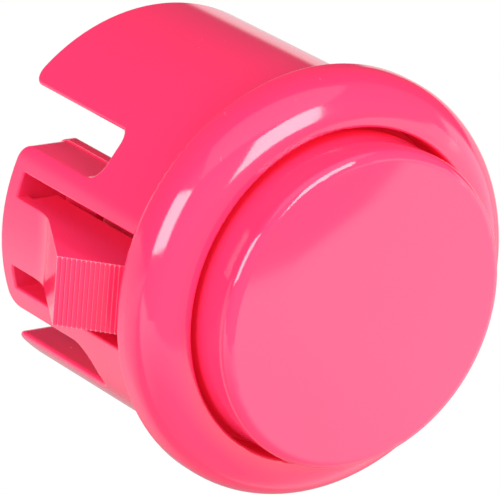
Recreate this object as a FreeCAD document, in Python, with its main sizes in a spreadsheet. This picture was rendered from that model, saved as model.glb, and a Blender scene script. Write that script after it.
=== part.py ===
import FreeCAD, Part
import math
import os

import Sketcher

# Snap-in arcade push button, in millimetres.
# +Z runs along the button's axis towards the finger, the origin is on the axis at the panel's surface,
# and the two snap clips stand on +X and -X.

doc = FreeCAD.newDocument("arcade_button")
sheet = doc.addObject("Spreadsheet::Sheet", "Sizes")

SIZES = {
    # Barrel and bezel
    "barrel_diameter": 29.8,
    "barrel_wall": 2.2,
    "barrel_length": 20.95,
    "bezel_overhang": 1.6,
    "bezel_height": 4.6,
    "rim_width": 3.6,
    "bore_lip": 0.2,
    "foot_round": 0.5,
    "floor_depth": 0.2,
    "floor_thickness": 1.0,
    # Slots and flaps
    "clip_flap_width": 12.78,
    "clip_flap_length": 17.94,
    "clip_flap_round": 1.2,
    "slot_width": 3.48,
    "slot_start": 7.95,
    "slot_round": 0.9,
    "slot_root_round": 1.6,
    "flap_round": 1.0,
    "flap_edge_round": 0.25,
    # Clip troughs and windows
    "trough_depth": 5.5,
    "trough_back": 0.8,
    "back_step": 0.15,
    "window_width": 9.06,
    "window_bar": 1.5,
    "window_edge_round": 0.15,
    "room_start": 12.5,
    "room_clearance": 0.5,
    # Sprung clips
    "clip_width": 5.3,
    "clip_thickness": 1.3,
    "clip_depth": 3.4,
    "cheek_thickness": 0.9,
    "crest_wall": 1.55,
    "hinge_length": 0.7,
    "ramp_start": 12.2,
    "ramp_blend": 5.0,
    "tab_crest": 4.45,
    "tab_reach": 3.9,
    "tab_end": 0.55,
    "tab_end_reach": 0.25,
    "rib_count": 15,
    "rib_depth": 0.2,
    # Plunger
    "plunger_gap": 0.55,
    "plunger_rise": 3.5,
    "plunger_crown": 0.3,
    "plunger_round": 0.8,
    "plunger_wall": 1.4,
    "press_travel": 2.2,
    "travel_margin": 0.3,
    "stem_diameter": 5.0,
    "stem_clearance": 0.3,
    "leg_width": 5.0,
    "leg_thickness": 1.4,
    "leg_offset": 9.3,
    "leg_clearance": 0.25,
    "hook_reach": 0.8,
    "hook_height": 2.4,
    "hook_land": 0.6,
    "stop_gap": 0.1,
    # Switch case and its cradle
    "case_length": 12.8,
    "case_width": 6.4,
    "case_height": 13.0,
    "case_wall": 0.9,
    "case_depth": 5.2,
    "case_round": 0.5,
    "cradle_clearance": 0.1,
    "cradle_wall": 1.0,
    "cradle_shelf": 1.6,
    "cradle_grip": 11.5,
    "lug_width": 3.0,
    "lug_reach": 0.7,
    "lug_height": 1.6,
    "lug_depth": 6.0,
    "lug_clearance": 0.2,
    "base_height": 3.0,
    # Switch actuator
    "actuator_diameter": 3.6,
    "actuator_clearance": 0.2,
    "actuator_rise": 2.8,
    "actuator_play": 0.1,
    "shoulder_diameter": 4.4,
    "shoulder_height": 1.0,
    "post_diameter": 2.6,
    "post_height": 2.5,
    "pin_diameter": 1.4,
    "pin_length": 2.1,
    # Contacts
    "bridge_length": 8.4,
    "bridge_width": 2.6,
    "bridge_thickness": 0.3,
    "contact_spacing": 6.4,
    "contact_diameter": 1.8,
    "contact_height": 0.4,
    "contact_gap": 0.05,
    # Terminals
    "terminal_width": 2.8,
    "terminal_thickness": 0.5,
    "terminal_spacing": 8.6,
    "terminal_length": 8.0,
    "terminal_point": 0.7,
    "terminal_hole": 1.2,
    "hole_from_tip": 3.2,
    "ledge_overlap": 0.1,
    # Return spring
    "spring_diameter": 2.6,
    "spring_wire": 0.3,
    "spring_turns": 5,
    "spring_play": 0.05,
}


class Size:
    """A length that knows both its number and the sheet expression that gives it."""

    def __init__(self, number, text):
        self.number = number
        self.text = text

    @staticmethod
    def of(item):
        if isinstance(item, Size):
            return item
        return Size(float(item), repr(float(item)))

    def joined(self, other, sign, number):
        return Size(number, "(%s %s %s)" % (self.text, sign, Size.of(other).text))

    def __add__(self, other):
        return self.joined(other, "+", self.number + Size.of(other).number)

    def __sub__(self, other):
        return self.joined(other, "-", self.number - Size.of(other).number)

    def __mul__(self, other):
        return self.joined(other, "*", self.number * Size.of(other).number)

    def __truediv__(self, other):
        return self.joined(other, "/", self.number / Size.of(other).number)

    def __neg__(self):
        return Size(-self.number, "(0 - %s)" % self.text)


def root(item):
    return Size(math.sqrt(item.number), "sqrt(%s)" % item.text)


def least(one, other):
    one, other = Size.of(one), Size.of(other)
    return Size(min(one.number, other.number), "min(%s; %s)" % (one.text, other.text))


for row, (alias, number) in enumerate(SIZES.items(), start=1):
    sheet.set("A%d" % row, alias)
    sheet.set("B%d" % row, str(number))
    sheet.setAlias("B%d" % row, alias)
doc.recompute()


def size(alias):
    return Size(float(sheet.get(alias)), "Sizes.%s" % alias)


ZERO = Size.of(0)
NEAR = 1e-4


# Sketching helpers

def plane(body, role):
    return [item for item in body.Origin.OriginFeatures if item.Role == role][0]


def new_sketch(body, name, role):
    sketch = body.newObject("Sketcher::SketchObject", name)
    sketch.AttachmentSupport = (plane(body, role), [""])
    sketch.MapMode = "FlatFace"
    return sketch


def pin_down(sketch, kind, where, item):
    item = Size.of(item)
    index = sketch.addConstraint(Sketcher.Constraint(kind, *where, item.number))
    sketch.setExpression("Constraints[%d]" % index, item.text)


def vector(x, y):
    return FreeCAD.Vector(Size.of(x).number, Size.of(y).number, 0)


def add_loop(sketch, corners):
    """A closed outline. Each corner is (x, y) or (x, y, arc); arc = (centre x, centre y, radius)
    bends the side that leaves the corner."""
    first = sketch.GeometryCount
    count = len(corners)
    flipped = []
    for index, corner in enumerate(corners):
        start = vector(*corner[:2])
        end = vector(*corners[(index + 1) % count][:2])
        if len(corner) < 3:
            sketch.addGeometry(Part.LineSegment(start, end), False)
            flipped.append(False)
            continue
        centre = vector(*corner[2][:2])
        to_start, to_end = start - centre, end - centre
        turns_left = to_start.x * to_end.y - to_start.y * to_end.x > 0
        angles = [math.atan2(arm.y, arm.x) for arm in (to_start, to_end)]
        if not turns_left:
            angles.reverse()
        circle = Part.Circle(centre, FreeCAD.Vector(0, 0, 1), Size.of(corner[2][2]).number)
        sketch.addGeometry(Part.ArcOfCircle(circle, angles[0], angles[1]), False)
        flipped.append(not turns_left)
    for index, corner in enumerate(corners):
        before = (index - 1) % count
        here = (first + index, 2 if flipped[index] else 1)
        there = (first + before, 1 if flipped[before] else 2)
        sketch.addConstraint(Sketcher.Constraint("Coincident", *there, *here))
        pin_down(sketch, "DistanceX", here, corner[0])
        pin_down(sketch, "DistanceY", here, corner[1])
        if len(corner) == 3:
            pin_down(sketch, "Radius", (first + index,), corner[2][2])


def add_circle(sketch, x, y, radius):
    index = sketch.addGeometry(Part.Circle(vector(x, y), FreeCAD.Vector(0, 0, 1), radius.number), False)
    pin_down(sketch, "DistanceX", (index, 3), x)
    pin_down(sketch, "DistanceY", (index, 3), y)
    pin_down(sketch, "Radius", (index,), radius)


def box(low_x, low_y, high_x, high_y):
    return [(low_x, low_y), (high_x, low_y), (high_x, high_y), (low_x, high_y)]


def centred(width, depth):
    return box(-(width / 2), -(depth / 2), width / 2, depth / 2)


def rounded(corners):
    """Round the corners that carry a radius, on an outline with sides along x and y only."""
    outline = []
    count = len(corners)
    for index, corner in enumerate(corners):
        x, y = corner[:2]
        if len(corner) < 3:
            outline.append((x, y))
            continue
        radius = corner[2]
        before = vector(*corners[index - 1][:2]) - vector(x, y)
        after = vector(*corners[(index + 1) % count][:2]) - vector(x, y)
        back = [math.copysign(1, part) if abs(part) > 1e-9 else 0 for part in (before.x, before.y)]
        ahead = [math.copysign(1, part) if abs(part) > 1e-9 else 0 for part in (after.x, after.y)]
        centre = (x + radius * (back[0] + ahead[0]), y + radius * (back[1] + ahead[1]), radius)
        outline.append((x + radius * back[0], y + radius * back[1], centre))
        outline.append((x + radius * ahead[0], y + radius * ahead[1]))
    return outline


def mirrored(corners):
    """The same outline on the other side of the vertical axis."""
    other = []
    for index in range(len(corners)):
        corner = corners[index]
        before = corners[index - 1]
        if len(before) == 3:
            arc = before[2]
            other.append((-corner[0], corner[1], (-arc[0], arc[1], arc[2])))
        else:
            other.append((-corner[0], corner[1]))
    return [other[0]] + other[:0:-1]


# Feature helpers

def bind(thing, name, item):
    thing.setExpression(name, Size.of(item).text)


def new_body(label):
    body = doc.addObject("PartDesign::Body", label)
    body.Label = label
    return body


def grown(body, feature, sign):
    """Recompute and make sure that the feature really added (or removed) material."""
    before = feature.BaseFeature.Shape.Volume if feature.BaseFeature else 0
    doc.recompute()
    if sign * (feature.Shape.Volume - before) <= 1e-6:
        raise RuntimeError("%s changes nothing" % feature.Name)
    return feature


def extrude(body, kind, name, sketch, length, lift=ZERO, reverse=False, side="One side"):
    feature = body.newObject("PartDesign::" + kind, name)
    feature.Profile = sketch
    feature.Type = "Length"
    feature.SideType = side
    feature.Reversed = reverse
    bind(feature, "Length", length)
    if lift is not ZERO:
        bind(sketch, "AttachmentOffset.Base.z", lift)
    return grown(body, feature, 1 if kind == "Pad" else -1)


def pad_down(body, name, sketch, top, bottom):
    return extrude(body, "Pad", name, sketch, top - bottom, top, reverse=True)


def pocket_up(body, name, sketch, bottom, top):
    return extrude(body, "Pocket", name, sketch, top - bottom, bottom, reverse=True)


def fillet(body, name, radius, wanted, sign=-1):
    """Round those edges of the body's last feature that the test picks by points along them."""
    base = body.Tip
    edges = []
    for number, edge in enumerate(base.Shape.Edges, start=1):
        parts_two_faces = len(base.Shape.ancestorsOfType(edge, Part.Face)) == 2
        if parts_two_faces and wanted(edge.discretize(5)):
            edges.append("Edge%d" % number)
    feature = body.newObject("PartDesign::Fillet", name)
    feature.Base = (base, edges)
    bind(feature, "Radius", radius)
    return grown(body, feature, sign)


def revolve(body, name, sketch):
    feature = body.newObject("PartDesign::Revolution", name)
    feature.Profile = sketch
    feature.ReferenceAxis = (sketch, ["V_Axis"])
    feature.Angle = 360
    return grown(body, feature, 1)


# Heights and radii that several pieces share

barrel_r = size("barrel_diameter") / 2
inner_r = barrel_r - size("barrel_wall")
bezel_r = barrel_r + size("bezel_overhang")
bore_r = bezel_r - size("rim_width")
bezel_top = size("bezel_height")
floor_low = -size("floor_depth")
floor_top = floor_low + size("floor_thickness")
rear = -size("barrel_length")
clip_rear = -size("clip_flap_length")
flap_half = size("clip_flap_width") / 2
trough_x = barrel_r - size("trough_depth")
travel = size("press_travel")

case_top = -size("case_depth")
case_low = case_top - size("case_height")
cavity_top = case_top - size("case_wall")
base_top = case_low + size("base_height")
cradle_low = case_top - size("cradle_grip")
socket_x = size("case_length") / 2 + size("cradle_clearance")
socket_y = size("case_width") / 2 + size("cradle_clearance")

actuator_top = case_top + size("actuator_rise")
shoulder_top = cavity_top - size("actuator_play")
post_top = shoulder_top - size("shoulder_height")
bridge_top = post_top - size("post_height")
bridge_low = bridge_top - size("bridge_thickness")
contact_low = bridge_low - size("contact_height")
fixed_top = contact_low - travel - size("contact_gap")
ledge_top = fixed_top - size("contact_height")
ledge_low = ledge_top - size("terminal_thickness")
blade_tip = case_low - size("terminal_length")
stem_low = actuator_top + size("actuator_play")


# Body: bezel, barrel, flaps, clips and switch cradle in one moulding

body = new_body("body")

dome = size("rim_width") - size("bore_lip")
dome_z = bezel_top - dome
foot = least(size("foot_round"), dome_z / 2)
lip = size("bore_lip")
profile = new_sketch(body, "bezel_and_barrel_profile", "XZ_Plane")
add_loop(profile, [
    (ZERO, floor_low),
    (inner_r, floor_low),
    (inner_r, rear),
    (barrel_r, rear),
    (barrel_r, ZERO),
    (bezel_r - foot, ZERO, (bezel_r - foot, foot, foot)),
    (bezel_r, foot),
    (bezel_r, dome_z, (bore_r + lip, dome_z, dome)),
    (bore_r + lip, bezel_top, (bore_r + lip, bezel_top - lip, lip)),
    (bore_r, bezel_top - lip),
    (bore_r, floor_top),
    (ZERO, floor_top),
])
revolve(body, "bezel_and_barrel", profile)

# A block behind each clip flap, with the trough that gives the clip room to bend inwards
middle_r = barrel_r - size("barrel_wall") / 2
trough_edge = root(middle_r * middle_r - flap_half * flap_half)
troughs = new_sketch(body, "trough_outline", "XY_Plane")
trough = [
    (trough_x, -flap_half),
    (trough_edge, -flap_half, (ZERO, ZERO, middle_r)),
    (trough_edge, flap_half),
    (trough_x, flap_half),
]
add_loop(troughs, trough)
add_loop(troughs, mirrored(trough))
pad_down(body, "clip_troughs", troughs, floor_low, clip_rear)

# Four slots part the barrel into two long flaps and two shorter clip flaps
slot_far = flap_half + size("slot_width")
slot_z = -size("slot_start")
below = rear - size("flap_round")
slots = new_sketch(body, "flap_outline", "YZ_Plane")
half_outline = [
    (ZERO, clip_rear),
    (flap_half, clip_rear, size("clip_flap_round")),
    (flap_half, slot_z, size("slot_root_round")),
    (slot_far, slot_z, size("slot_round")),
    (slot_far, rear, size("flap_round")),
]
right = rounded(half_outline + [(slot_far + size("flap_round") * 2, rear)])[:-1]
right = right + [(slot_far + size("flap_round"), below)]
left = mirrored(right)
add_loop(slots, right + left[1:])
extrude(body, "Pocket", "flap_slots", slots, size("barrel_diameter") * 2, side="Symmetric")


def on_barrel(points):
    """On the barrel's outer face, behind the bezel."""
    return all(abs(math.hypot(point.x, point.y) - barrel_r.number) < NEAR and point.z < floor_low.number
               for point in points)


fillet(body, "flap_edges", size("flap_edge_round"), on_barrel)

# The back plate of each trough stands a little proud of the block's sides
window_x = trough_x + size("trough_back")
plate_half = flap_half + size("back_step")
for name, lift in (("right", trough_x), ("left", -window_x)):
    plate = new_sketch(body, "back_plate_outline_" + name, "YZ_Plane")
    corner = size("clip_flap_round")
    add_loop(plate, rounded([
        (-plate_half, floor_low),
        (-plate_half, clip_rear, corner),
        (plate_half, clip_rear, corner),
        (plate_half, floor_low),
    ]))
    extrude(body, "Pad", "back_plate_" + name, plate, size("trough_back"), lift)

bar_z = clip_rear + size("window_bar")
windows = new_sketch(body, "window_outline", "XZ_Plane")
window = box(window_x, bar_z, bezel_r, floor_low)
add_loop(windows, window)
add_loop(windows, mirrored(window))
extrude(body, "Pocket", "clip_windows", windows, size("window_width"), side="Symmetric")

window_half = size("window_width") / 2


def on_window(points):
    """On the window's outline in the barrel's outer face."""
    at_side = all(abs(abs(point.y) - window_half.number) < NEAR for point in points)
    at_bar = all(abs(point.z - bar_z.number) < NEAR for point in points)
    return on_barrel(points) and (at_side or at_bar)


fillet(body, "window_edges", size("window_edge_round"), on_window)

# Behind each clip the back plate is open, so that the clip can bend in as far as the panel asks
clip_half = size("clip_width") / 2
clip_deep = barrel_r - size("clip_depth")
room_half = clip_half + size("room_clearance")
rooms = new_sketch(body, "room_outline", "YZ_Plane")
add_loop(rooms, box(-room_half, -size("room_start"), room_half, floor_low))
extrude(body, "Pocket", "clip_rooms", rooms, window_x + clip_deep, side="Symmetric")

# Each clip is an arm rooted in the bar at the rear, flush with the barrel
arm_in = barrel_r - size("clip_thickness")
arm_edge = root(barrel_r * barrel_r - clip_half * clip_half)
end_z = -size("tab_end")
root_z = bar_z - size("window_bar") / 2
arms = new_sketch(body, "arm_outline", "XY_Plane")
arm = [
    (arm_in, -clip_half),
    (arm_edge, -clip_half, (ZERO, ZERO, barrel_r)),
    (arm_edge, clip_half),
    (arm_in, clip_half),
]
add_loop(arms, arm)
add_loop(arms, mirrored(arm))
pad_down(body, "clip_arms", arms, end_z, root_z)

# The arm swells into a wedge whose ribbed face grips the panel, with deep cheeks that stop short of the bar
crest_x = barrel_r + size("tab_reach")
crest_z = -size("tab_crest")
end_x = barrel_r + size("tab_end_reach")
hinge_z = bar_z + size("hinge_length")
skin_x = barrel_r - size("clip_thickness") / 2
ramp_z = -size("ramp_start")
ramp_slope = (crest_z - ramp_z) / (crest_x - arm_edge)
foot_z = ramp_z - (arm_edge - skin_x) * ramp_slope
rib_count = int(round(size("rib_count").number))
wedge = [
    (clip_deep, end_z),
    (clip_deep, hinge_z),
    (skin_x, hinge_z),
    (skin_x, foot_z),
]
for rib in range(rib_count):
    share = rib / rib_count
    half = (rib + 0.5) / rib_count
    groove_x = crest_x + (end_x - crest_x) * half - size("rib_depth")
    wedge.append((crest_x + (end_x - crest_x) * share, crest_z + (end_z - crest_z) * share))
    wedge.append((groove_x, crest_z + (end_z - crest_z) * half))
wedge.append((end_x, end_z))
wedges = new_sketch(body, "wedge_profile", "XZ_Plane")
add_loop(wedges, wedge)
add_loop(wedges, mirrored(wedge))
extrude(body, "Pad", "clip_wedges", wedges, size("clip_width"), side="Symmetric")


def on_ramp_foot(points):
    """Across the arm, where the ramp leaves the barrel's outer face."""
    across = min(point.y for point in points) < 0 < max(point.y for point in points)
    return on_barrel(points) and across and all(abs(point.y) < clip_half.number + NEAR for point in points)


fillet(body, "ramp_feet", size("ramp_blend"), on_ramp_foot, 1)

# The wedge is hollow from behind, as thick as the arm
hollow_end = end_z - size("cheek_thickness")
hollow = [
    (window_x, hollow_end),
    (window_x, hinge_z),
    (arm_in, hinge_z),
    (arm_in, ramp_z),
    (crest_x - size("crest_wall"), crest_z),
    (arm_in, hollow_end),
]
hollows = new_sketch(body, "hollow_profile", "XZ_Plane")
add_loop(hollows, hollow)
add_loop(hollows, mirrored(hollow))
hollow_width = size("clip_width") - size("cheek_thickness") * 2
extrude(body, "Pocket", "clip_hollows", hollows, hollow_width, side="Symmetric")

# The cradle under the floor takes the switch from behind, up to a shelf
cradle = new_sketch(body, "cradle_outline", "XY_Plane")
cradle_wide = (socket_x + size("cradle_wall")) * 2
cradle_deep = (socket_y + size("cradle_wall")) * 2
add_loop(cradle, centred(cradle_wide, cradle_deep))
pad_down(body, "switch_cradle", cradle, floor_low, cradle_low)

socket = new_sketch(body, "socket_outline", "XY_Plane")
add_loop(socket, centred(socket_x * 2, socket_y * 2))
pocket_up(body, "switch_socket", socket, cradle_low, case_top)

well = new_sketch(body, "well_outline", "XY_Plane")
add_loop(well, centred(size("case_length") - size("cradle_shelf") * 2, socket_y * 2))
pocket_up(body, "actuator_well", well, case_top, floor_low)

# Windows in the cradle's long walls catch the lugs of the switch
lug_top = case_top - size("lug_depth")
lug_low = lug_top - size("lug_height")
catches = new_sketch(body, "catch_outline", "XZ_Plane")
lug_half = size("lug_width") / 2 + size("lug_clearance")
add_loop(catches, box(-lug_half, lug_low - size("lug_clearance"), lug_half, lug_top + size("lug_clearance")))
extrude(body, "Pocket", "lug_catches", catches, cradle_deep + size("lug_clearance") * 2, side="Symmetric")

# Holes in the floor for the plunger's stem and legs
stem_hole = new_sketch(body, "floor_holes", "XY_Plane")
add_circle(stem_hole, ZERO, ZERO, size("stem_diameter") / 2 + size("stem_clearance"))
leg_x = size("leg_width") / 2 + size("leg_clearance")
leg_near = size("leg_offset") - size("leg_thickness") / 2
leg_far = size("leg_offset") + size("leg_thickness") / 2
add_loop(stem_hole, box(-leg_x, leg_near - size("leg_clearance"), leg_x, leg_far + size("leg_clearance")))
add_loop(stem_hole, box(-leg_x, -leg_far - size("leg_clearance"), leg_x, -leg_near + size("leg_clearance")))
pocket_up(body, "floor_openings", stem_hole, floor_low, floor_top)


# Plunger: cap with a skirt, a stem over the switch and two hooked legs

plunger = new_body("plunger")

cap_r = bore_r - size("plunger_gap")
cap_edge = bezel_top + size("plunger_rise")
cap_under = cap_edge - size("plunger_wall")
skirt_low = floor_top + travel + size("travel_margin")
edge = size("plunger_round")
crown = size("plunger_crown")
face_r = cap_r - edge
crown_r = (face_r * face_r + crown * crown) / (crown * 2)
stem_r = size("stem_diameter") / 2
cap = new_sketch(plunger, "cap_profile", "XZ_Plane")
add_loop(cap, [
    (ZERO, stem_low),
    (stem_r, stem_low),
    (stem_r, cap_under),
    (cap_r - size("plunger_wall"), cap_under),
    (cap_r - size("plunger_wall"), skirt_low),
    (cap_r, skirt_low),
    (cap_r, cap_edge - edge, (face_r, cap_edge - edge, edge)),
    (face_r, cap_edge, (ZERO, cap_edge + crown - crown_r, crown_r)),
    (ZERO, cap_edge + crown),
])
revolve(plunger, "cap", cap)

hook_top = floor_low - size("stop_gap")
hook_mid = hook_top - size("hook_land")
hook_low = hook_top - size("hook_height")
hook_out = leg_far + size("hook_reach")
legs = new_sketch(plunger, "leg_profile", "YZ_Plane")
leg = [
    (leg_near, cap_under + size("plunger_wall") / 2),
    (leg_near, hook_low),
    (leg_far, hook_low),
    (hook_out, hook_mid),
    (hook_out, hook_top),
    (leg_far, hook_top),
    (leg_far, cap_under + size("plunger_wall") / 2),
]
add_loop(legs, leg)
add_loop(legs, mirrored(leg))
extrude(plunger, "Pad", "legs", legs, size("leg_width"), side="Symmetric")


# Switch case: a shell that is open below, with a hole for the actuator and a lug on each long side

case = new_body("switch_case")
case_outline = new_sketch(case, "case_outline", "XY_Plane")
corner = size("case_round")
half_x, half_y = size("case_length") / 2, size("case_width") / 2
add_loop(case_outline, rounded([(x, y, corner) for x, y in box(-half_x, -half_y, half_x, half_y)]))
pad_down(case, "case_block", case_outline, case_top, case_low)
lugs = new_sketch(case, "lug_profile", "YZ_Plane")
lug = [
    (half_y - size("case_wall") / 2, lug_low),
    (half_y + size("lug_reach"), lug_low),
    (half_y, lug_top),
    (half_y - size("case_wall") / 2, lug_top),
]
add_loop(lugs, lug)
add_loop(lugs, mirrored(lug))
extrude(case, "Pad", "lugs", lugs, size("lug_width"), side="Symmetric")
cavity_wide = size("case_length") - size("case_wall") * 2
cavity_deep = size("case_width") - size("case_wall") * 2
cavity = new_sketch(case, "cavity_outline", "XY_Plane")
add_loop(cavity, centred(cavity_wide, cavity_deep))
pocket_up(case, "cavity", cavity, case_low, cavity_top)
actuator_hole = new_sketch(case, "actuator_hole_outline", "XY_Plane")
add_circle(actuator_hole, ZERO, ZERO, size("actuator_diameter") / 2 + size("actuator_clearance"))
pocket_up(case, "actuator_hole", actuator_hole, cavity_top, case_top)


# Switch base: closes the case and holds the two terminals

base = new_body("switch_base")
blade_x = size("terminal_spacing") / 2
blade_half = size("terminal_thickness") / 2
base_outline = new_sketch(base, "base_outline", "XY_Plane")
add_loop(base_outline, centred(cavity_wide, cavity_deep))
pad_down(base, "base_block", base_outline, base_top, case_low)
blade_slots = new_sketch(base, "blade_slots", "XY_Plane")
blade_wide = size("terminal_width") / 2
slot = box(blade_x - blade_half, -blade_wide, blade_x + blade_half, blade_wide)
add_loop(blade_slots, slot)
add_loop(blade_slots, mirrored(slot))
pocket_up(base, "slots", blade_slots, case_low, base_top)


# Switch actuator: a round button with a shoulder, a post and a pin that carries the bridge

actuator = new_body("switch_actuator")
button_r = size("actuator_diameter") / 2
shoulder_r = size("shoulder_diameter") / 2
post_r = size("post_diameter") / 2
pin_r = size("pin_diameter") / 2
turned = new_sketch(actuator, "actuator_profile", "XZ_Plane")
add_loop(turned, [
    (ZERO, bridge_low - size("pin_length")),
    (pin_r, bridge_low - size("pin_length")),
    (pin_r, bridge_top),
    (post_r, bridge_top),
    (post_r, post_top),
    (shoulder_r, post_top),
    (shoulder_r, shoulder_top),
    (button_r, shoulder_top),
    (button_r, actuator_top),
    (ZERO, actuator_top),
])
revolve(actuator, "actuator", turned)


# Contact bridge: a strip with a hole for the pin

bridge = new_body("contact_bridge")
strip = new_sketch(bridge, "strip_outline", "XY_Plane")
add_loop(strip, centred(size("bridge_length"), size("bridge_width")))
add_circle(strip, ZERO, ZERO, pin_r)
pad_down(bridge, "strip", strip, bridge_top, bridge_low)


# Contact rivets, terminals and return spring

def rivet(label, x, top):
    piece = new_body(label)
    outline = new_sketch(piece, label + "_outline", "XY_Plane")
    add_circle(outline, x, ZERO, size("contact_diameter") / 2)
    pad_down(piece, label + "_head", outline, top, top - size("contact_height"))
    return piece


def terminal(label, side):
    """A blade that turns inwards over the base, to a ledge under the bridge's contact."""
    piece = new_body(label)
    ledge_end = size("contact_spacing") / 2 - size("contact_diameter") / 2 - size("ledge_overlap")
    bend = [
        (ledge_end, ledge_top),
        (ledge_end, ledge_low),
        (blade_x - blade_half, ledge_low),
        (blade_x - blade_half, blade_tip),
        (blade_x + blade_half, blade_tip),
        (blade_x + blade_half, ledge_top),
    ]
    sketch = new_sketch(piece, label + "_profile", "XZ_Plane")
    add_loop(sketch, bend if side > 0 else mirrored(bend))
    extrude(piece, "Pad", label + "_blade", sketch, size("terminal_width"), side="Symmetric")
    point = size("terminal_point")
    wide = size("terminal_width") / 2
    trim = new_sketch(piece, label + "_point", "YZ_Plane")
    corner_cut = [(wide, blade_tip), (wide, blade_tip + point), (wide - point, blade_tip)]
    add_loop(trim, corner_cut)
    add_loop(trim, mirrored(corner_cut))
    add_circle(trim, ZERO, blade_tip + size("hole_from_tip"), size("terminal_hole") / 2)
    extrude(piece, "Pocket", label + "_trim", trim, size("case_length") * 2, side="Symmetric")
    return piece


contact_x = size("contact_spacing") / 2
pieces = [body, plunger, case, base, actuator, bridge]
for name, sign in (("left", -1), ("right", 1)):
    pieces.append(rivet("moving_contact_" + name, contact_x * sign, bridge_low))
    pieces.append(rivet("fixed_contact_" + name, contact_x * sign, fixed_top))
    pieces.append(terminal("terminal_" + name, sign))

spring = new_body("return_spring")
wire = size("spring_wire")
coil_low = base_top + size("spring_play") + wire / 2
coil_high = bridge_low - size("spring_play") - wire / 2
section = new_sketch(spring, "wire_section", "XZ_Plane")
coil_r = size("spring_diameter") / 2
wire_side = root(wire * wire * 3) / 4
add_loop(section, [
    (coil_r + wire / 2, coil_low),
    (coil_r + wire / 4, coil_low + wire_side),
    (coil_r - wire / 4, coil_low + wire_side),
    (coil_r - wire / 2, coil_low),
    (coil_r - wire / 4, coil_low - wire_side),
    (coil_r + wire / 4, coil_low - wire_side),
])
coil = spring.newObject("PartDesign::AdditiveHelix", "coil")
coil.Profile = section
coil.ReferenceAxis = (section, ["V_Axis"])
coil.Mode = "height-turns-angle"
bind(coil, "Height", coil_high - coil_low)
bind(coil, "Turns", size("spring_turns"))
grown(spring, coil, 1)
pieces.append(spring)


# Check every object, then write one file per piece

doc.recompute()
for item in doc.Objects:
    if "Invalid" in item.State or "Error" in item.State:
        raise RuntimeError("%s is not up to date" % item.Label)
for piece in pieces:
    if piece.Shape.isNull() or not piece.Shape.isValid() or len(piece.Shape.Solids) != 1:
        raise RuntimeError("%s is not one valid solid" % piece.Label)

os.makedirs("parts", exist_ok=True)
for piece in pieces:
    piece.Shape.exportStep("parts/%s.step" % piece.Label)
    extent = piece.Shape.BoundBox
    print("%-22s %9.2f mm3  x %.2f..%.2f  y %.2f..%.2f  z %.2f..%.2f" % (
        piece.Label, piece.Shape.Volume, extent.XMin, extent.XMax,
        extent.YMin, extent.YMax, extent.ZMin, extent.ZMax))
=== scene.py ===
import math

import bpy
from bpy.props import FloatProperty, FloatVectorProperty, IntProperty, PointerProperty
from mathutils import Matrix, Vector


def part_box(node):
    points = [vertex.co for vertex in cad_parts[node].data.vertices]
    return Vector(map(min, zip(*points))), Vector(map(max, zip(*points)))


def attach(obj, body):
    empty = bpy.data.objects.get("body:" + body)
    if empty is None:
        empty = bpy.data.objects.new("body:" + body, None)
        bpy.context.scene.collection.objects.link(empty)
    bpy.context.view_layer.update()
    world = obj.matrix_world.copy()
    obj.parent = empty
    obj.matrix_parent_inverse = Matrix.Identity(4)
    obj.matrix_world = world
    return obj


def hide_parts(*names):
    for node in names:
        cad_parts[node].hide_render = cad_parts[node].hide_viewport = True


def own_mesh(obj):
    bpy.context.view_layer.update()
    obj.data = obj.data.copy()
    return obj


bl_info = {
    "name": "Arcade Button Looks",
    "version": (1, 0, 0),
    "blender": (4, 5, 0),
    "location": "View3D > Sidebar > Arcade Button",
    "description": "Dresses a snap-in arcade push button and sets its stage",
    "category": "Object",
}

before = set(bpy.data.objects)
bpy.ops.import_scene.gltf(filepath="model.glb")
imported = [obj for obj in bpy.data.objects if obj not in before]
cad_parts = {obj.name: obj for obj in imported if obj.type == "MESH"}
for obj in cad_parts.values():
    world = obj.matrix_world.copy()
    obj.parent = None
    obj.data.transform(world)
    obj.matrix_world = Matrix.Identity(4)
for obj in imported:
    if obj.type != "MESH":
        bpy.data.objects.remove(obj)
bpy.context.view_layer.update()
MM = 0.001

# Where the pink plastic changes: the well round the plunger, which is matt, darkened with painted shade and
# lit by a painted red emission, and the ribs as spans of |x|, |y| and |z|
BORE_RADIUS = 12.8 * MM
BORE_FADE = 0.1 * MM
WELL_FLOOR = -0.5 * MM
BODY_MATT_AND_SHADED_BELOW = 4.8 * MM
PLUNGER_MATT_AND_SHADED_BELOW = 5.2 * MM
MATT_AND_SHADE_FADE = 1.2 * MM
RIBBED_SPANS = ((15.0 * MM, 19.0 * MM), (-1.0 * MM, 2.5 * MM), (0.4 * MM, 4.4 * MM))
SHARP = 0.001 * MM
# Pale pink painted on outer edges as a highlight
HIGHLIGHT_PINK = (1.0, 0.6, 0.7, 1.0)
EDGE_SAMPLES = 8

# Painted highlight on outer edges, real scuffs, and painted shade in recesses of the pink plastic: where each
# fades in, and how much of it shows
HIGHLIGHT_SPAN = (0.25, 0.8)
HIGHLIGHT_PALE = 0.7
HIGHLIGHT_OFF_RIBS = 0.65
SCUFF_PALE = 0.15
RECESS_SPAN = (0.45, 0.85)
RECESS_SHARE = 0.4


# Shader wrappers

class Value:
    """A node socket that arithmetic can be written on."""

    def __init__(self, shader, socket):
        self.shader = shader
        self.socket = socket

    def math(self, operation, first, second):
        return self.shader.node("ShaderNodeMath", {"operation": operation}, {0: first, 1: second})

    def __add__(self, other):
        return self.math("ADD", self, other)

    __radd__ = __add__

    def __sub__(self, other):
        return self.math("SUBTRACT", self, other)

    def __rsub__(self, other):
        return self.math("SUBTRACT", other, self)

    def __mul__(self, other):
        return self.math("MULTIPLY", self, other)

    __rmul__ = __mul__


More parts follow.
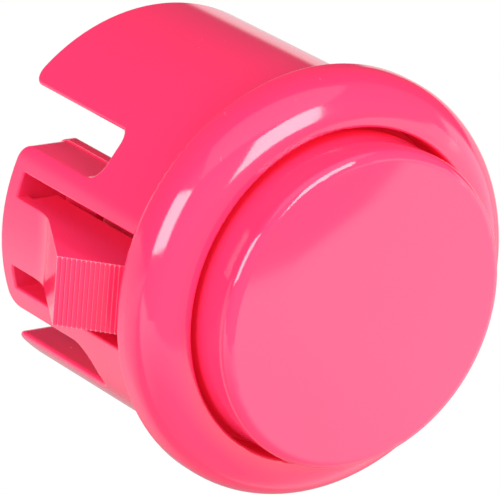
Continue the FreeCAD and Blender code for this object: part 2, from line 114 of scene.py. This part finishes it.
class Shader:
    """The node tree of a material or of the world."""

    def __init__(self, owner):
        owner.use_nodes = True
        self.owner = owner
        self.tree = owner.node_tree
        self.tree.nodes.clear()

    def node(self, kind, settings=None, inputs=None, output=0):
        """A node of any type: settings are set first, then each input gets a value or a link."""
        made = self.tree.nodes.new(kind)
        for name, setting in (settings or {}).items():
            setattr(made, name, setting)
        for key, item in (inputs or {}).items():
            if isinstance(item, Value):
                self.tree.links.new(item.socket, made.inputs[key])
            else:
                made.inputs[key].default_value = item
        return Value(self, made.outputs[output] if made.outputs else None)

    def noise(self, scale, detail=2.0, stretch=None, turn=None):
        """Noise on the object's own coordinates: scale is in blotches per metre."""
        place = self.node("ShaderNodeTexCoord", output="Object")
        if stretch:
            place = self.node("ShaderNodeMapping", {}, {
                "Vector": place, "Rotation": turn or (0.0, 0.0, 0.0), "Scale": stretch})
        return self.node("ShaderNodeTexNoise", {}, {"Vector": place, "Scale": scale, "Detail": detail})

    def step(self, value, low, high):
        """0 below low, 1 above high."""
        return self.node("ShaderNodeMapRange", {"clamp": True}, {0: value, 1: low, 2: high})

    def blend(self, factor, one, other):
        return self.node("ShaderNodeMix", {"data_type": "RGBA"}, {0: factor, 6: one, 7: other}, output=2)

    def within(self, place, spans):
        """1 where |x|, |y| and |z| of the place lie in their spans (near, far), 0 elsewhere."""
        away = self.node("ShaderNodeVectorMath", {"operation": "ABSOLUTE"}, {0: place})
        share = 1.0
        for axis, (near, far) in zip("XYZ", spans):
            along = self.node("ShaderNodeSeparateXYZ", {}, {0: away}, axis)
            past_near = self.step(along, near, near + SHARP)
            past_far = self.step(along, far, far + SHARP)
            share = share * past_near * (1 - past_far)
        return share

    def bump(self, height, distance, normal=None):
        inputs = {"Height": height, "Distance": distance, "Strength": 1.0}
        if normal:
            inputs["Normal"] = normal
        return self.node("ShaderNodeBump", {}, inputs)

    def plastic_or_metal(self, inputs):
        return self.node("ShaderNodeBsdfPrincipled", {}, inputs)

    def finish(self, surface, kind="ShaderNodeOutputMaterial"):
        self.node(kind, {}, {"Surface": surface})
        return self.owner


def material(name):
    return Shader(bpy.data.materials.new(name))


def opaque(rgb, share=1.0):
    return (rgb[0] * share, rgb[1] * share, rgb[2] * share, 1.0)


# Settings

class ButtonFinish(bpy.types.PropertyGroup):
    pink: FloatVectorProperty(
        name="Pink", description="Colour of the body and the plunger", subtype="COLOR", size=3,
        default=(0.9, 0.032, 0.12), min=0.0, max=1.0)
    # Painted shade: the darker red put on the matt depths in place of the shade that falls there
    depth_shade: FloatVectorProperty(
        name="Crevices", description="Colour of the pink in its unpolished depths", subtype="COLOR", size=3,
        default=(0.68, 0.007, 0.03), min=0.0, max=1.0)
    # Painted light: red emission in the depths, in place of light that comes through the plastic
    painted_glow: FloatProperty(
        name="Glow", description="Red light that comes through the plastic into its depths",
        default=0.28, min=0.0, max=1.0)
    # Reach of the recesses that get the painted shade and the red emission
    depth: FloatProperty(
        name="Depth", description="How near other walls are in a recess that turns red", subtype="DISTANCE",
        unit="LENGTH", default=4.0 * MM, min=0.0, max=20.0 * MM)
    body_gloss: FloatProperty(
        name="Body roughness", description="Roughness of the polished body", subtype="FACTOR",
        default=0.1, min=0.0, max=1.0)
    plunger_gloss: FloatProperty(
        name="Plunger roughness", description="Roughness of the polished plunger", subtype="FACTOR",
        default=0.05, min=0.0, max=1.0)
    edge_round: FloatProperty(
        name="Edge round", description="Soft round of the moulded edges", subtype="DISTANCE",
        unit="LENGTH", default=0.18 * MM, min=0.0, max=1.0 * MM)
    rib_round: FloatProperty(
        name="Rib round", description="Soft round of the ribs' edges", subtype="DISTANCE",
        unit="LENGTH", default=0.05 * MM, min=0.0, max=1.0 * MM)
    # Painted highlight: width of the pale line on outer edges
    edge_highlight_width: FloatProperty(
        name="Edge wear", description="Width of the pale line on outer edges", subtype="DISTANCE",
        unit="LENGTH", default=0.1 * MM, min=0.0, max=1.0 * MM)
    black: FloatVectorProperty(
        name="Black", description="Colour of the switch's case and base", subtype="COLOR", size=3,
        default=(0.018, 0.018, 0.02), min=0.0, max=1.0)
    white: FloatVectorProperty(
        name="White", description="Colour of the switch's actuator", subtype="COLOR", size=3,
        default=(0.75, 0.74, 0.70), min=0.0, max=1.0)
    brass: FloatVectorProperty(
        name="Brass", description="Colour of the terminals and the bridge", subtype="COLOR", size=3,
        default=(0.75, 0.57, 0.29), min=0.0, max=1.0)
    silver: FloatVectorProperty(
        name="Silver", description="Colour of the contact rivets", subtype="COLOR", size=3,
        default=(0.82, 0.81, 0.78), min=0.0, max=1.0)
    steel: FloatVectorProperty(
        name="Steel", description="Colour of the spring's wire", subtype="COLOR", size=3,
        default=(0.55, 0.55, 0.56), min=0.0, max=1.0)


class SpringSettings(bpy.types.PropertyGroup):
    wire: FloatProperty(
        name="Wire", description="Diameter of the spring's wire", subtype="DISTANCE", unit="LENGTH",
        default=0.3 * MM, min=0.05 * MM, max=1.0 * MM)
    coil: FloatProperty(
        name="Coil", description="Diameter of the coil, at the middle of the wire", subtype="DISTANCE",
        unit="LENGTH", default=2.6 * MM, min=1.0 * MM, max=5.0 * MM)
    turns: IntProperty(name="Turns", description="Turns of the coil", default=5, min=1, max=20)
    seat: FloatProperty(
        name="Seat", description="Height at which the spring stands on the switch's base", subtype="DISTANCE",
        unit="LENGTH", default=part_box("switch_base")[1].z)


class StageSettings(bpy.types.PropertyGroup):
    focal_length: FloatProperty(
        name="Focal length", description="Lens of the camera, in millimetres", subtype="DISTANCE_CAMERA",
        default=365.1, min=50.0, max=600.0)
    floor_drop: FloatProperty(
        name="Floor drop", description="Height of the panel's surface over the floor", subtype="DISTANCE",
        unit="LENGTH", default=0.15, min=0.03, max=1.0)
    softbox_level: FloatProperty(
        name="Softboxes", description="Brightness of the two softboxes against white", default=11.0, min=0.0)
    card_level: FloatProperty(
        name="Card", description="Brightness of the white card against white", default=1.75, min=0.0)
    strip_level: FloatProperty(
        name="Strip", description="Brightness of the strip lamp against white", default=1.45, min=0.0)
    fill_level: FloatProperty(
        name="Fill", description="Brightness of the large lamp above against white", default=0.9, min=0.0)
    room_level: FloatProperty(
        name="Room", description="Brightness of the room against white", default=0.42, min=0.38)


# Finishes

def dress(node_names, finish):
    for name in node_names:
        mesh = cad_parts[name].data
        mesh.materials.clear()
        mesh.materials.append(finish)


def moulded_normal(shader, finish, ribbed):
    """Softly rounded edges, crisper on the ribs."""
    soft = shader.node("ShaderNodeBevel", {"samples": EDGE_SAMPLES}, {"Radius": finish.edge_round})
    crisp = shader.node("ShaderNodeBevel", {"samples": EDGE_SAMPLES}, {"Radius": finish.rib_round})
    return shader.node("ShaderNodeMix", {"data_type": "VECTOR"}, {0: ribbed, 4: soft, 5: crisp}, 1)


def edge_highlights(shader, finish, ribbed):
    """Painted highlight: 1 on outer edges, where little plastic lies behind the surface, and less than that
    on the ribs.
    """
    backed = shader.node(
        "ShaderNodeAmbientOcclusion", {"samples": EDGE_SAMPLES, "inside": True, "only_local": True},
        {"Distance": finish.edge_highlight_width}, "AO")
    return shader.step(1 - backed, *HIGHLIGHT_SPAN) * (1 - ribbed * HIGHLIGHT_OFF_RIBS)


def depths(shader, finish, place, matt_and_shaded_below):
    """Mask of the painted shade and red emission: 1 in the well round the plunger, below the height given,
    and a share of that in other recesses.
    """
    flat = shader.node("ShaderNodeVectorMath", {"operation": "MULTIPLY"}, {0: place, 1: (1.0, 1.0, 0.0)})
    radius = shader.node("ShaderNodeVectorMath", {"operation": "LENGTH"}, {0: flat}, "Value")
    height = shader.node("ShaderNodeSeparateXYZ", {}, {0: place}, "Z")
    bore = 1 - shader.step(radius, BORE_RADIUS, BORE_RADIUS + BORE_FADE)
    low = 1 - shader.step(height, matt_and_shaded_below - MATT_AND_SHADE_FADE, matt_and_shaded_below)
    well = bore * low * shader.step(height, WELL_FLOOR, 0.0)
    open_air = shader.node(
        "ShaderNodeAmbientOcclusion", {"samples": EDGE_SAMPLES}, {"Distance": finish.depth}, "AO")
    recess = shader.step(1 - open_air, *RECESS_SPAN) * RECESS_SHARE
    return well + recess * (1 - well)


def pink_plastic(name, finish, gloss, scuffed, matt_and_shaded_below):
    """Polished moulding: a faint haze, hairline scuffs and softly rounded edges, with pale lines painted on
    the outer edges as highlight.
    In its depths, where the mould isn't polished, it is matt, darkened with painted shade, and a red emission
    paints light that glows there."""
    shader = material(name)
    haze = shader.noise(90.0, 3.0)
    hairs = shader.step(shader.noise(3000.0, 1.0, (1.0, 0.03, 0.6), (0.4, 0.7, 0.3)), 0.72, 0.78)
    scuffs = hairs * shader.step(shader.noise(140.0, 2.0), 0.56, 0.68) * scuffed
    tone = shader.blend(shader.step(haze, 0.3, 0.7), opaque(finish.pink), opaque(finish.pink, 0.97))
    place = shader.node("ShaderNodeTexCoord", output="Object")
    ribbed = shader.within(place, RIBBED_SPANS)
    # Real hairline scuffs, and pale lines painted on outer edges as highlight
    pale = scuffs * SCUFF_PALE + edge_highlights(shader, finish, ribbed) * HIGHLIGHT_PALE
    polished = shader.plastic_or_metal({
        "Base Color": shader.blend(pale, tone, HIGHLIGHT_PINK),
        "Roughness": haze * 0.02 + scuffs * 0.2 + (gloss - 0.01),
        "Normal": moulded_normal(shader, finish, ribbed),
        "IOR": 1.5,
    })
    # Matt pink, with a darker red as painted shade and a red emission as painted light
    matt_and_shaded = shader.plastic_or_metal({
        "Base Color": shader.blend(haze * 0.3, opaque(finish.depth_shade), tone),
        "Roughness": 0.6,
        "Specular IOR Level": 0.1,
        "Emission Color": opaque(finish.depth_shade),
        "Emission Strength": finish.painted_glow,
    })
    deep = depths(shader, finish, place, matt_and_shaded_below)
    return shader.finish(shader.node("ShaderNodeMixShader", {}, {0: deep, 1: polished, 2: matt_and_shaded}))


def black_moulding(name, rgb, share=1.0):
    """Fine-grained black moulding, in a share of the colour."""
    shader = material(name)
    grain = shader.noise(6000.0, 2.0)
    haze = shader.noise(200.0, 3.0)
    return shader.finish(shader.plastic_or_metal({
        "Base Color": shader.blend(haze, opaque(rgb, share), opaque(rgb, share * 1.6)),
        "Roughness": haze * 0.15 + 0.42,
        "Normal": shader.bump(grain, 0.006 * MM),
    }))


def natural_white(name, rgb):
    """Satin moulding without pigment, a little yellowed in places."""
    shader = material(name)
    haze = shader.noise(300.0, 3.0)
    return shader.finish(shader.plastic_or_metal({
        "Base Color": shader.blend(haze, opaque(rgb), (rgb[0], rgb[1] * 0.97, rgb[2] * 0.92, 1.0)),
        "Roughness": haze * 0.1 + 0.32,
    }))


def rolled_metal(name, rgb, stretch, roughness):
    """Metal with fine lines along the way it was rolled or drawn, and a faint tarnish."""
    shader = material(name)
    lines = shader.noise(2500.0, 3.0, stretch)
    tarnish = shader.step(shader.noise(350.0, 4.0), 0.45, 0.75)
    return shader.finish(shader.plastic_or_metal({
        "Base Color": shader.blend(tarnish * 0.5, opaque(rgb), opaque(rgb, 0.7)),
        "Metallic": 1.0,
        "Roughness": lines * 0.16 + tarnish * 0.12 + (roughness - 0.1),
        "Normal": shader.bump(lines, 0.002 * MM),
    }))


# Operators

class ARCADE_OT_body(bpy.types.Operator):
    """Gives the moulded body its polished pink"""
    bl_idname = "arcade.body"
    bl_label = "Body"

    def execute(self, context):
        finish = context.scene.button_finish
        dress(["body"], pink_plastic("pink_body", finish, finish.body_gloss, 1.0, BODY_MATT_AND_SHADED_BELOW))
        return {"FINISHED"}


class ARCADE_OT_plunger(bpy.types.Operator):
    """Gives the plunger its polished pink"""
    bl_idname = "arcade.plunger"
    bl_label = "Plunger"

    def execute(self, context):
        finish = context.scene.button_finish
        dress(["plunger"],
              pink_plastic("pink_plunger", finish, finish.plunger_gloss, 0.0, PLUNGER_MATT_AND_SHADED_BELOW))
        return {"FINISHED"}


class ARCADE_OT_switch(bpy.types.Operator):
    """Gives the switch's mouldings their black and white"""
    bl_idname = "arcade.switch"
    bl_label = "Switch mouldings"

    def execute(self, context):
        finish = context.scene.button_finish
        dress(["switch_case"], black_moulding("switch_case", finish.black))
        dress(["switch_base"], black_moulding("switch_base", finish.black, 1.4))
        dress(["switch_actuator"], natural_white("switch_actuator", finish.white))
        return {"FINISHED"}


class ARCADE_OT_contacts(bpy.types.Operator):
    """Gives the terminals, the bridge and the rivets their metals"""
    bl_idname = "arcade.contacts"
    bl_label = "Terminals and contacts"

    def execute(self, context):
        finish = context.scene.button_finish
        dress(["terminal_left", "terminal_right"],
              rolled_metal("terminal_metal", finish.brass, (1.0, 1.0, 0.05), 0.28))
        dress(["contact_bridge"], rolled_metal("contact_strip", finish.brass, (0.05, 1.0, 1.0), 0.3))
        dress(["moving_contact_left", "moving_contact_right", "fixed_contact_left", "fixed_contact_right"],
              rolled_metal("contact_silver", finish.silver, (1.0, 1.0, 1.0), 0.3))
        return {"FINISHED"}


WIRE_SIDES = 14
STEPS_PER_TURN = 40
SMOOTH_ANGLE = math.radians(40.0)


def wind_spring(settings):
    """Round wire, wound in the room of the spring's solid, with flat ends."""
    low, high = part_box("return_spring")
    bpy.ops.object.select_all(action="DESELECT")
    bpy.ops.mesh.primitive_circle_add(
        vertices=WIRE_SIDES, radius=settings.wire / 2, rotation=(math.pi / 2, 0.0, 0.0),
        location=(settings.coil / 2, 0.0, low.z + settings.wire / 2))
    spring = bpy.context.object
    spring.name = "wound_spring"
    bpy.ops.object.transform_apply(location=True, rotation=True, scale=True)
    winding = spring.modifiers.new("winding", "SCREW")
    winding.axis = "Z"
    winding.iterations = settings.turns
    winding.screw_offset = (high.z - low.z - settings.wire) / settings.turns
    winding.steps = STEPS_PER_TURN
    winding.render_steps = STEPS_PER_TURN
    bpy.ops.object.modifier_apply(modifier=winding.name)
    bpy.ops.object.mode_set(mode="EDIT")
    bpy.ops.mesh.select_mode(type="EDGE")
    bpy.ops.mesh.select_all(action="DESELECT")
    bpy.ops.mesh.select_non_manifold(extend=False)
    bpy.ops.mesh.fill_holes(sides=0)
    bpy.ops.mesh.select_all(action="SELECT")
    bpy.ops.mesh.normals_make_consistent(inside=False)
    bpy.ops.object.mode_set(mode="OBJECT")
    bpy.ops.object.shade_smooth_by_angle(angle=SMOOTH_ANGLE)
    return spring


class ARCADE_OT_spring(bpy.types.Operator):
    """Winds the return spring in place of the CAD spring and hangs it on the housing"""
    bl_idname = "arcade.spring"
    bl_label = "Return spring"

    def execute(self, context):
        settings = context.scene.spring_settings
        spring = wind_spring(settings)
        spring.data.materials.append(
            rolled_metal("spring_steel", context.scene.button_finish.steel, (1.0, 1.0, 1.0), 0.25))
        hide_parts("return_spring")
        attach(spring, "housing")
        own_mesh(spring)
        return {"FINISHED"}


# Stage

CAMERA_PLACE = Vector((212.33, -127.05, 280.11)) * MM
CAMERA_RIGHT = Vector((-0.8176, -0.0792, 0.5703))
CAMERA_DOWN = Vector((0.1314, 0.9387, 0.3187))
SENSOR_WIDTH = 36.0

# Name and level, then degrees as the object sees them: sideways and upward from the camera, width,
# height and roll
LAMPS = (
    ("softbox_left", "softbox_level", -38.5, 11.5, 28.0, 28.5, -12.0),
    ("softbox_right", "softbox_level", 45.0, 11.0, 27.5, 29.5, 12.0),
    ("rim_strip", "strip_level", 85.5, -9.2, 35.0, 9.0, 45.0),
    ("top_fill", "fill_level", 20.0, 52.0, 70.0, 44.0, 0.0),
)
LAMP_DISTANCE = 0.8

# Paper on the table, in metres, with its edge across y, and how the table and the paper show in gloss
FLOOR_SIZE = 8.0
PAPER_EDGE = -0.028
PAPER_FADE = 0.006
TABLE_GREY = (0.08, 0.08, 0.08, 1.0)
PAPER_GREY = (0.85, 0.85, 0.85, 1.0)
TABLE_GLOSS = 0.11
PAPER_GLOSS = 0.3
WHITE_TO_EYE = 0.98

# Pools of light painted on the paper, seen only in gloss: the spans, in metres, over which each one begins or
# ends, and how it shows in gloss
BAND_SIDE = (-0.03, 0.08)
BAND_START = (0.0, 0.08)
BAND_END = (0.15, 0.4)
BAND_GLOSS = 0.85
NEAR_END = (-0.02, 0.12)
NEAR_REACH = (0.2, 0.6)
NEAR_GLOSS = 0.55
LEFT_END = (-0.6, -0.25)
LEFT_GLOSS = 0.7

# Directions square to the white card's edges, in degrees sideways and upward from the camera
CARD_SIDE = (-165.3, -42.9)
CARD_BEND = (-172.5, -34.7)
CARD_END = (-130.8, 55.9)

# Spans, as parts of the way to the right, square to an edge or upward, over which the card bends or fades,
# and how the room lightens to the right, upward and to the back of the camera
BEND_SPAN = (0.6, 0.8)
SIDE_SPAN = (0.0, 0.006)
END_SPAN = (-0.06, 0.06)
FOOT_SPAN = (-0.92, -0.5)
ROOM_SLOPE = (0.2, -0.25, 0.2)
WHITE = (1.0, 1.0, 1.0, 1.0)


def camera_axes():
    """Right, up and back of the camera, at right angles."""
    right = CAMERA_RIGHT.normalized()
    back = right.cross(-CAMERA_DOWN).normalized()
    return right, back.cross(right), back


def from_camera(sideways, upward):
    """The direction at these angles from the camera, in degrees, as the object sees it."""
    right, up, back = camera_axes()
    across = math.radians(sideways)
    rise = math.radians(upward)
    return (right * math.sin(across) + back * math.cos(across)) * math.cos(rise) + up * math.sin(rise)


def add_camera(scene, focal_length):
    data = bpy.data.cameras.new("photo_camera")
    data.sensor_width = SENSOR_WIDTH
    data.lens = focal_length
    data.clip_start = 0.01
    data.clip_end = 20.0
    camera = bpy.data.objects.new("photo_camera", data)
    scene.collection.objects.link(camera)
    turn = Matrix(camera_axes()).transposed().to_4x4()
    camera.matrix_world = Matrix.Translation(CAMERA_PLACE) @ turn
    scene.camera = camera


def add_lamp(scene, name, level, sideways, upward, width, height, roll):
    """A rectangle of light, as a row of LAMPS gives it."""
    toward = from_camera(sideways, upward)
    level_line = camera_axes()[1].cross(toward).normalized()
    turn = Matrix((level_line, toward.cross(level_line), toward)).transposed().to_4x4()
    data = bpy.data.lights.new(name, "AREA")
    data.shape = "RECTANGLE"
    data.size = 2 * LAMP_DISTANCE * math.tan(math.radians(width / 2))
    data.size_y = 2 * LAMP_DISTANCE * math.tan(math.radians(height / 2))
    data.energy = level * math.pi * data.size * data.size_y
    lamp = bpy.data.objects.new(name, data)
    scene.collection.objects.link(lamp)
    lamp.matrix_world = (Matrix.Translation(toward * LAMP_DISTANCE) @ turn
                         @ Matrix.Rotation(math.radians(roll), 4, "Z"))
    lamp.visible_camera = False


def add_floor(settings):
    """A sheet of paper on a dark table. It is white to the eye and through glass, dimmer in gloss, with pools
    of light painted on it that show only in gloss, matte for the light that it returns, and clear from below."""
    bpy.ops.mesh.primitive_plane_add(size=FLOOR_SIZE, location=(0, 0, -settings.floor_drop))
    floor = bpy.context.object
    floor.name = "floor"
    shader = material("floor")
    eye = shader.node("ShaderNodeLightPath", output="Is Camera Ray")
    gloss = shader.node("ShaderNodeLightPath", output="Is Glossy Ray")
    through = shader.node("ShaderNodeLightPath", output="Is Transmission Ray")
    place = shader.node("ShaderNodeTexCoord", output="Object")
    across = shader.node("ShaderNodeSeparateXYZ", {}, {0: place}, "X")
    along = shader.node("ShaderNodeSeparateXYZ", {}, {0: place}, "Y")
    sheet = shader.step(along, PAPER_EDGE - PAPER_FADE, PAPER_EDGE + PAPER_FADE)
    away = shader.node("ShaderNodeVectorMath", {"operation": "LENGTH"}, {0: place}, "Value")
    band = shader.step(across, *BAND_SIDE) * shader.step(along, *BAND_START)
    band = band * (1 - shader.step(along, *BAND_END))
    near = (1 - shader.step(along, *NEAR_END)) * (1 - shader.step(away, *NEAR_REACH))
    left = 1 - shader.step(across, *LEFT_END)
    lit = band * BAND_GLOSS + near * NEAR_GLOSS + left * LEFT_GLOSS + PAPER_GLOSS
    strength = eye + through + gloss * (sheet * lit + TABLE_GLOSS)
    white = shader.node("ShaderNodeEmission", {}, {"Color": WHITE, "Strength": strength})
    matte = shader.node("ShaderNodeBsdfDiffuse", {}, {"Color": shader.blend(sheet, TABLE_GREY, PAPER_GREY)})
    share = eye * WHITE_TO_EYE + through + gloss
    top = shader.node("ShaderNodeMixShader", {}, {0: share, 1: matte, 2: white})
    below = shader.node("ShaderNodeNewGeometry", output="Backfacing")
    clear = shader.node("ShaderNodeBsdfTransparent")
    shader.finish(shader.node("ShaderNodeMixShader", {}, {0: below, 1: top, 2: clear}))
    floor.data.materials.append(shader.owner)


def add_room(scene, settings):
    """A grey room, lighter in front of and below the object, and white to the eye. On the right stands a
    white card, with a sharp bent edge on the left, that fades downwards and at its far end."""
    right, up, back = camera_axes()
    shader = Shader(bpy.data.worlds.new("studio"))
    scene.world = shader.owner
    toward = shader.node("ShaderNodeTexCoord", output="Generated")

    def along(way):
        return shader.node("ShaderNodeVectorMath", {"operation": "DOT_PRODUCT"}, {0: toward, 1: way}, "Value")

    bend = shader.step(along(right), *BEND_SPAN)
    side = along(from_camera(*CARD_SIDE)) * (1 - bend) + along(from_camera(*CARD_BEND)) * bend
    past_end = shader.step(along(from_camera(*CARD_END)), *END_SPAN)
    card = shader.step(side, *SIDE_SPAN) * shader.step(along(up), *FOOT_SPAN) * (1 - past_end)
    slope = right * ROOM_SLOPE[0] + up * ROOM_SLOPE[1] + back * ROOM_SLOPE[2]
    grey = along(slope) + settings.room_level + card * settings.card_level
    eye = shader.node("ShaderNodeLightPath", output="Is Camera Ray")
    strength = grey * (1 - eye) + eye
    shader.finish(shader.node("ShaderNodeBackground", {}, {"Color": WHITE, "Strength": strength}),
                  "ShaderNodeOutputWorld")


class ARCADE_OT_stage(bpy.types.Operator):
    """Sets the camera, the floor, the lamps and the room"""
    bl_idname = "arcade.stage"
    bl_label = "Stage"

    def execute(self, context):
        scene = context.scene
        settings = scene.stage_settings
        scene.view_settings.view_transform = "Standard"
        add_camera(scene, settings.focal_length)
        for name, level, *angles in LAMPS:
            add_lamp(scene, name, getattr(settings, level), *angles)
        add_floor(settings)
        add_room(scene, settings)
        return {"FINISHED"}


class ARCADE_PT_panel(bpy.types.Panel):
    """Lists the pieces of the arcade button"""
    bl_idname = "ARCADE_PT_panel"
    bl_label = "Arcade Button"
    bl_space_type = "VIEW_3D"
    bl_region_type = "UI"
    bl_category = "Arcade Button"

    def draw(self, context):
        for operator in OPERATORS:
            self.layout.operator(operator.bl_idname)


OPERATORS = (ARCADE_OT_body, ARCADE_OT_plunger, ARCADE_OT_switch, ARCADE_OT_contacts, ARCADE_OT_spring,
             ARCADE_OT_stage)
CLASSES = (ButtonFinish, SpringSettings, StageSettings) + OPERATORS + (ARCADE_PT_panel,)


def register():
    for item in CLASSES:
        bpy.utils.register_class(item)
    bpy.types.Scene.button_finish = PointerProperty(type=ButtonFinish)
    bpy.types.Scene.spring_settings = PointerProperty(type=SpringSettings)
    bpy.types.Scene.stage_settings = PointerProperty(type=StageSettings)


def unregister():
    del bpy.types.Scene.button_finish
    del bpy.types.Scene.spring_settings
    del bpy.types.Scene.stage_settings
    for item in reversed(CLASSES):
        bpy.utils.unregister_class(item)


def main():
    register()
    bpy.ops.object.select_all(action="DESELECT")
    bpy.ops.arcade.body()
    bpy.ops.arcade.plunger()
    bpy.ops.arcade.switch()
    bpy.ops.arcade.contacts()
    bpy.ops.arcade.spring()
    bpy.ops.arcade.stage()


if __name__ == "__main__":
    main()
